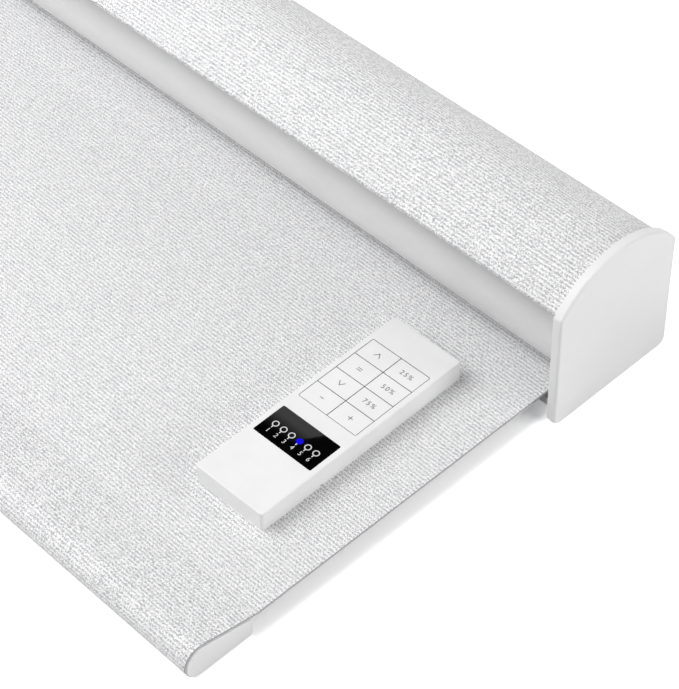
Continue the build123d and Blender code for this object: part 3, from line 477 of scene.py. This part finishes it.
# The narrow strip along each side of the drawn cloth takes the painted edge shade.
for face in drawn_cloth.data.polygons:
    if abs(face.center.x) > cloth_reach - shade_strip_width:
        face.material_index = shade_strip_slot
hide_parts("cloth_drop", "hem_cloth")
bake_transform(drawn_cloth, "cassette", "hem", start=(0, roll_y, cloth_top), end=(0, -0.05, cloth_top))

# Handset shell and keys
# Injection moulded ABS with a fine matt etch, in a brighter white than the caps. The keys
# are of the same plastic.
handset_abs, tree, shader = start_finish("fine_etched_white_abs", "#F1F1F1", roughness=0.38)
vary_colour(tree, shader, "#EFEFEF", "#F3F3F3", grain(tree, 20 * mm))
raise_surface(tree, shader, grain(tree, 0.3 * mm), depth=0.004 * mm, strength=0.5)
dress(handset_abs, "handset_case", "handset_base", "battery_cover", "channel_lights")
key_legends = {
    "key_up": "up", "key_stop": "stop", "key_down": "down", "key_minus": "minus",
    "key_25": "25%", "key_50": "50%", "key_75": "75%", "key_plus": "plus",
}
dress(handset_abs, *key_legends)

# Key mat and its web
# Dark silicone rubber. A thin dark web stands between the keys, just below their tops, and
# shows as fine dark lines. It is painted shade for the gaps between the keys.
silicone, tree, shader = start_finish("dark_silicone_and_gap_shade", "#1C1C1E", roughness=0.7)
vary_colour(tree, shader, "#19191B", "#202022", grain(tree, 0.8 * mm))
raise_surface(tree, shader, grain(tree, 0.3 * mm), depth=0.02 * mm, strength=0.5)
dress(silicone, "key_mat")


def key_middle(name):
    """The middle of a key's top face."""
    low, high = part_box(name)
    return Vector(((low.x + high.x) / 2, (low.y + high.y) / 2, high.z))


key_rows = 4
key_columns = 2
up_side = (key_middle("key_up") - key_middle("key_minus")).normalized()
across = Vector((up_side.y, -up_side.x, 0))
row_step = (key_middle("key_up") - key_middle("key_minus")).length / (key_rows - 1)
column_step = (key_middle("key_25") - key_middle("key_up")).length
pad_middle = (key_middle("key_down") + key_middle("key_50")) / 2
handset_place = Matrix((
    (across.x, up_side.x, 0, pad_middle.x),
    (across.y, up_side.y, 0, pad_middle.y),
    (0, 0, 1, pad_middle.z),
    (0, 0, 0, 1),
))
print_height = 0.03 * mm


def lay_bar(marks, middle, length, width, angle=0.0, low=0.0, high=print_height):
    """A flat bar on the handset's top, turned by an angle about its middle."""
    bar = bmesh.ops.create_cube(marks, size=1.0)["verts"]
    bmesh.ops.scale(marks, verts=bar, vec=(length, width, high - low))
    bmesh.ops.rotate(marks, verts=bar, matrix=Matrix.Rotation(angle, 3, "Z"))
    bmesh.ops.translate(marks, verts=bar, vec=(*middle, (low + high) / 2))


def place_marks(marks, name, finish, body):
    """Turns marks drawn round the key pad's middle into a piece on the handset."""
    bmesh.ops.recalc_face_normals(marks, faces=marks.faces)
    bmesh.ops.transform(marks, matrix=handset_place, verts=marks.verts)
    piece = make_object(marks, name, finish)
    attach(piece, body)
    return piece


# The web between the keys is painted shade for the gaps.
web_width = 0.4 * mm
web_top = -0.06 * mm
web_depth = -0.5 * mm
web = bmesh.new()
for line in range(key_rows + 1):
    lay_bar(web, (0, (line - key_rows / 2) * row_step), key_columns * column_step + web_width,
            web_width, low=web_depth, high=web_top)
for line in range(key_columns + 1):
    lay_bar(web, ((line - key_columns / 2) * column_step, 0), key_rows * row_step + web_width,
            web_width, math.pi / 2, low=web_depth, high=web_top)
place_marks(web, "key_gap_shade_web", silicone, "handset")

# Key legends
# Thin grey marks, pad printed on the keys: arrows, two bars, minus, plus and three
# percentages.
legend_ink, tree, shader = start_finish("grey_pad_print", "#3A3C3F", roughness=0.6)
vary_colour(tree, shader, "#36383B", "#404245", grain(tree, 0.5 * mm))
raise_surface(tree, shader, grain(tree, 0.2 * mm), depth=0.005 * mm, strength=0.5)


def lay_text(marks, words, middle, height, spread, thinning=0.0, low=0.0, high=print_height):
    """Figures in a plain face, centred on a point, as a thin raised print."""
    # A figure stands this share of the lettering's size.
    figure_share = 0.7
    lettering = bpy.data.curves.new("lettering", "FONT")
    lettering.body = words
    lettering.align_x = "CENTER"
    lettering.align_y = "CENTER"
    lettering.size = height / figure_share
    lettering.space_character = spread
    lettering.extrude = (high - low) / 2
    lettering.offset = thinning
    drawn = bpy.data.objects.new("lettering", lettering)
    flat = bpy.data.meshes.new_from_object(drawn)
    before = len(marks.verts)
    marks.from_mesh(flat)
    marks.verts.ensure_lookup_table()
    fresh = marks.verts[before:]
    middle_now = Vector((
        (min(vert.co.x for vert in fresh) + max(vert.co.x for vert in fresh)) / 2,
        (min(vert.co.y for vert in fresh) + max(vert.co.y for vert in fresh)) / 2,
        0,
    ))
    bmesh.ops.translate(marks, verts=fresh, vec=Vector((*middle, (low + high) / 2)) - middle_now)
    bpy.data.objects.remove(drawn)
    bpy.data.curves.remove(lettering)
    bpy.data.meshes.remove(flat)


stroke = 0.4 * mm
arrow_lean = math.radians(56)
arrow_arm = 3.8 * mm
stop_length = 3.4 * mm
stop_offset = 0.7 * mm
sign_lengths = {"minus": 2.6 * mm, "plus": 3.2 * mm}
figure_height = 3.1 * mm
figure_spread = 1.28
figure_thinning = -0.01 * mm
for key, legend in key_legends.items():
    marks = bmesh.new()
    spot = (handset_place.inverted() @ key_middle(key)).xy
    if legend in ("up", "down"):
        lean = arrow_lean if legend == "up" else -arrow_lean
        foot = math.cos(lean) * (arrow_arm - stroke) / 2
        lay_bar(marks, spot - Vector((foot, 0)), arrow_arm, stroke, lean)
        lay_bar(marks, spot + Vector((foot, 0)), arrow_arm, stroke, -lean)
    elif legend == "stop":
        for offset in (stop_offset, -stop_offset):
            lay_bar(marks, spot + Vector((0, offset)), stop_length, stroke)
    elif legend in sign_lengths:
        lay_bar(marks, spot, sign_lengths[legend], stroke)
        if legend == "plus":
            lay_bar(marks, spot, sign_lengths[legend], stroke, math.pi / 2)
    else:
        lay_text(marks, legend, spot, figure_height, figure_spread, figure_thinning)
    place_marks(marks, key.replace("key", "legend"), legend_ink, key)

# Display window
# Smoked acrylic sheet, polished and nearly black, let into the case above the channel
# lights.
smoked_acrylic, tree, shader = start_finish(
    "smoked_acrylic", "#020203", roughness=0.015, Specular_IOR_Level=0.01)
vary_colour(tree, shader, "#020202", "#030304", grain(tree, 5 * mm))
raise_surface(tree, shader, grain(tree, 1.5 * mm), depth=0.001 * mm, strength=0.2)
dress(smoked_acrylic, "display_window")

# Display marks
# White screen print on the window: six channel rings, each with a stem and its number.
# The fourth ring is lit blue from behind.
screen_print, tree, shader = start_finish("white_screen_print", "#D8D8D8", roughness=0.5)
vary_colour(tree, shader, "#D2D2D2", "#DEDEDE", grain(tree, 0.5 * mm))
raise_surface(tree, shader, grain(tree, 0.2 * mm), depth=0.005 * mm, strength=0.5)
lamp_glow, tree, shader = start_finish(
    "lit_blue_lens", "#04022C", roughness=0.5, Emission_Strength=0.8, Specular_IOR_Level=0.03)
shader.inputs["Emission Color"].default_value = linear("#1006F8")
raise_surface(tree, shader, grain(tree, 0.5 * mm), depth=0.005 * mm, strength=0.5)


def lay_ring(marks, middle, outer, inner, low, high):
    """A flat ring on the handset's top, or a disc where its inner radius is nought."""
    rings = [bmesh.ops.create_circle(marks, radius=radius, segments=ring_sides)["verts"]
             for radius in (outer, inner) if radius > 0]
    edges = list({edge for ring in rings for vert in ring for edge in vert.link_edges})
    if inner > 0:
        faces = bmesh.ops.bridge_loops(marks, edges=edges)["faces"]
    else:
        faces = bmesh.ops.contextual_create(marks, geom=edges)["faces"]
    raised = bmesh.ops.extrude_face_region(marks, geom=faces)["geom"]
    raised = [part for part in raised if isinstance(part, bmesh.types.BMVert)]
    bmesh.ops.translate(marks, verts=raised, vec=(0, 0, high - low))
    verts = list({vert for ring in rings for vert in ring}) + raised
    bmesh.ops.translate(marks, verts=verts, vec=(*middle, low))


window_low, window_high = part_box("display_window")
window_middle = handset_place.inverted() @ Vector((
    (window_low.x + window_high.x) / 2, (window_low.y + window_high.y) / 2, window_high.z,
))
window_print = {"low": window_middle.z, "high": window_middle.z + print_height}
channel_count = 6
lit_channel = 4
channel_pitch = 5.95 * mm
ring_drop = 0.7 * mm
ring_outer = 2.05 * mm
ring_inner = 1.45 * mm
ring_sides = 40
stem_length = 1.3 * mm
stem_width = 0.6 * mm
number_drop = 5.65 * mm
number_height = 2.9 * mm
ring_row = window_middle.y - ring_drop
prints = bmesh.new()
lens = bmesh.new()
for channel in range(1, channel_count + 1):
    channel_x = window_middle.x + (channel - (channel_count + 1) / 2) * channel_pitch
    if channel == lit_channel:
        lay_ring(lens, (channel_x, ring_row), ring_outer, 0, **window_print)
    else:
        lay_ring(prints, (channel_x, ring_row), ring_outer, ring_inner, **window_print)
    lay_bar(prints, (channel_x, ring_row - ring_outer - stem_length / 2), stem_length, stem_width,
            math.pi / 2, **window_print)
    lay_text(prints, str(channel), (channel_x, ring_row - number_drop), number_height,
             spread=1.0, **window_print)
place_marks(prints, "channel_print", screen_print, "handset")
place_marks(lens, "lit_channel", lamp_glow, "handset")

# Studio
# A pale floor that fades into the white air, a soft lamp high beyond the far end, a lamp on
# the side of the near end cap, a weak one in front, and even light all round.
floor_carried = 0.65
floor_mirrored = 1.6
floor_seen = 2.3
floor_reach = 6.0
floor_drop = 0.2 * mm
floor_fade_start = 1.0
floor_fade_end = 1.7
air_light = 0.28
air_white = 1.0


def start_stage_finish(name):
    """A named finish for the studio's own things, with no shader in it yet."""
    finish = bpy.data.materials.new(name)
    finish.use_nodes = True
    finish.node_tree.nodes.remove(finish.node_tree.nodes["Principled BSDF"])
    return finish, finish.node_tree


def ray_is(tree, *kinds):
    """One for rays of these kinds, and nought for all others."""
    ray = add_node(tree, "ShaderNodeLightPath", {})
    found = ray.outputs[f"Is {kinds[0]} Ray"]
    for kind in kinds[1:]:
        found = add_node(tree, "ShaderNodeMath", {
            0: found, 1: ray.outputs[f"Is {kind} Ray"],
        }, operation="MAXIMUM").outputs["Value"]
    return found


# The floor lights the blind as a plain grey, and is white where it is seen or mirrored.
floor_finish, tree = start_stage_finish("white_sweep")
surface = add_node(tree, "ShaderNodeBsdfDiffuse", {
    "Color": (floor_carried, floor_carried, floor_carried, 1),
})
for level, kinds in ((floor_mirrored, ("Glossy", "Transmission")), (floor_seen, ("Camera",))):
    brighter = add_node(tree, "ShaderNodeBsdfDiffuse", {"Color": (level, level, level, 1)})
    surface = add_node(tree, "ShaderNodeMixShader", {
        0: ray_is(tree, *kinds), 1: surface.outputs[0], 2: brighter.outputs[0],
    })
place = add_node(tree, "ShaderNodeTexCoord", {})
reach = add_node(tree, "ShaderNodeVectorMath", {0: place.outputs["Object"]}, operation="LENGTH")
fade = add_node(tree, "ShaderNodeMapRange", {
    "Value": reach.outputs["Value"], "From Min": floor_fade_start, "From Max": floor_fade_end,
})
clear = add_node(tree, "ShaderNodeBsdfTransparent", {})
faded = add_node(tree, "ShaderNodeMixShader", {
    0: fade.outputs["Result"], 1: surface.outputs[0], 2: clear.outputs[0],
})
tree.links.new(faded.outputs[0], tree.nodes["Material Output"].inputs["Surface"])

sweep = bmesh.new()
bmesh.ops.create_grid(sweep, x_segments=1, y_segments=1, size=floor_reach)
bmesh.ops.translate(sweep, verts=sweep.verts, vec=(0, 0, -floor_drop))
floor = make_object(sweep, "sweep", floor_finish)

world = bpy.data.worlds.new("studio_air")
bpy.context.scene.world = world
world.use_nodes = True
tree = world.node_tree
level = add_node(tree, "ShaderNodeMapRange", {
    "Value": ray_is(tree, "Camera", "Glossy", "Transmission"),
    "To Min": air_light, "To Max": air_white,
})
tree.links.new(level.outputs["Result"], tree.nodes["Background"].inputs["Strength"])
tree.nodes["Background"].inputs["Color"].default_value = (1, 1, 1, 1)

softboxes = (
    ("overhead_softbox", (-0.85, -0.75, 1.5), 1.7, 34.5),
    ("side_softbox", (2.1, 0.7, 0.5), 1.2, 21),
    ("front_softbox", (-0.3, -2.2, 0.9), 1.4, 3.5),
)
for name, spot, size, power in softboxes:
    lamp_data = bpy.data.lights.new(name, "AREA")
    lamp_data.shape = "SQUARE"
    lamp_data.size = size
    lamp_data.energy = power
    lamp = bpy.data.objects.new(name, lamp_data)
    bpy.context.scene.collection.objects.link(lamp)
    lamp.location = spot
    lamp.rotation_euler = (-lamp.location).to_track_quat("-Z", "Y").to_euler()

# Reflection card
# A small lit card high behind the blind, which the polished display mirrors. It is bright at
# one end and fades out towards the other.
card_size = (0.09, 0.13, 1)
card_turn = math.radians(99.3)
card_shift = Vector((0.0696, 0.0852, 0))
mirror_point = Vector((-1.31, 1.28, 2.2))
mirror_line = Vector((1.53, -1.44, -2.18))
card_fade_slope = (-17.8, 18.9, 0)
card_fade_offset = 1.158
card_fade_power = 2.0
card_glow = 37.0
card_finish, tree = start_stage_finish("gradient_card")
place = add_node(tree, "ShaderNodeTexCoord", {})
slope = add_node(tree, "ShaderNodeVectorMath", {
    0: place.outputs["Object"], 1: card_fade_slope,
}, operation="DOT_PRODUCT")
ramp = add_node(tree, "ShaderNodeMath", {
    0: slope.outputs["Value"], 1: card_fade_offset,
}, operation="ADD", use_clamp=True)
fade = add_node(tree, "ShaderNodeMath", {
    0: ramp.outputs["Value"], 1: card_fade_power,
}, operation="POWER")
level = add_node(tree, "ShaderNodeMath", {
    0: fade.outputs["Value"], 1: card_glow,
}, operation="MULTIPLY")
glow = add_node(tree, "ShaderNodeEmission", {"Strength": level.outputs["Value"]})
tree.links.new(glow.outputs[0], tree.nodes["Material Output"].inputs["Surface"])
card_shape = bmesh.new()
bmesh.ops.create_grid(card_shape, x_segments=1, y_segments=1, size=0.5)
bmesh.ops.scale(card_shape, verts=card_shape.verts, vec=card_size)
card = make_object(card_shape, "reflection_card", card_finish)
towards_display = mirror_line.to_track_quat("-Z", "Y").to_matrix()
card_middle = mirror_point + towards_display @ card_shift
card.matrix_world = Matrix.Translation(card_middle) @ (
    towards_display @ Matrix.Rotation(card_turn, 3, "Z")).to_4x4()

# Camera
# Looks down on the near end from the room side, along the photograph's line of sight. Its
# place and lens were worked out from the object's own straight edges.
picture_height = 689
focal_pixels = 2343.7
camera_azimuth = math.radians(46.807)
camera_elevation = math.radians(46.028)
camera_roll = math.radians(-1.286)
camera_place = Vector((829.5, -697.4, 930.3)) * mm
camera_lens = bpy.data.cameras.new("camera")
camera_lens.sensor_width = 36
camera_lens.lens = focal_pixels / picture_height * camera_lens.sensor_width
camera_lens.clip_start = 0.05
camera_lens.clip_end = 50
camera = bpy.data.objects.new("camera", camera_lens)
bpy.context.scene.collection.objects.link(camera)
turn = Matrix.Rotation(camera_azimuth, 4, "Z")
tilt = Matrix.Rotation(math.pi / 2 - camera_elevation, 4, "X")
roll = Matrix.Rotation(camera_roll, 4, "Z")
camera.matrix_world = Matrix.Translation(camera_place) @ turn @ tilt @ roll
bpy.context.scene.camera = camera

bpy.context.scene.view_settings.view_transform = "Standard"
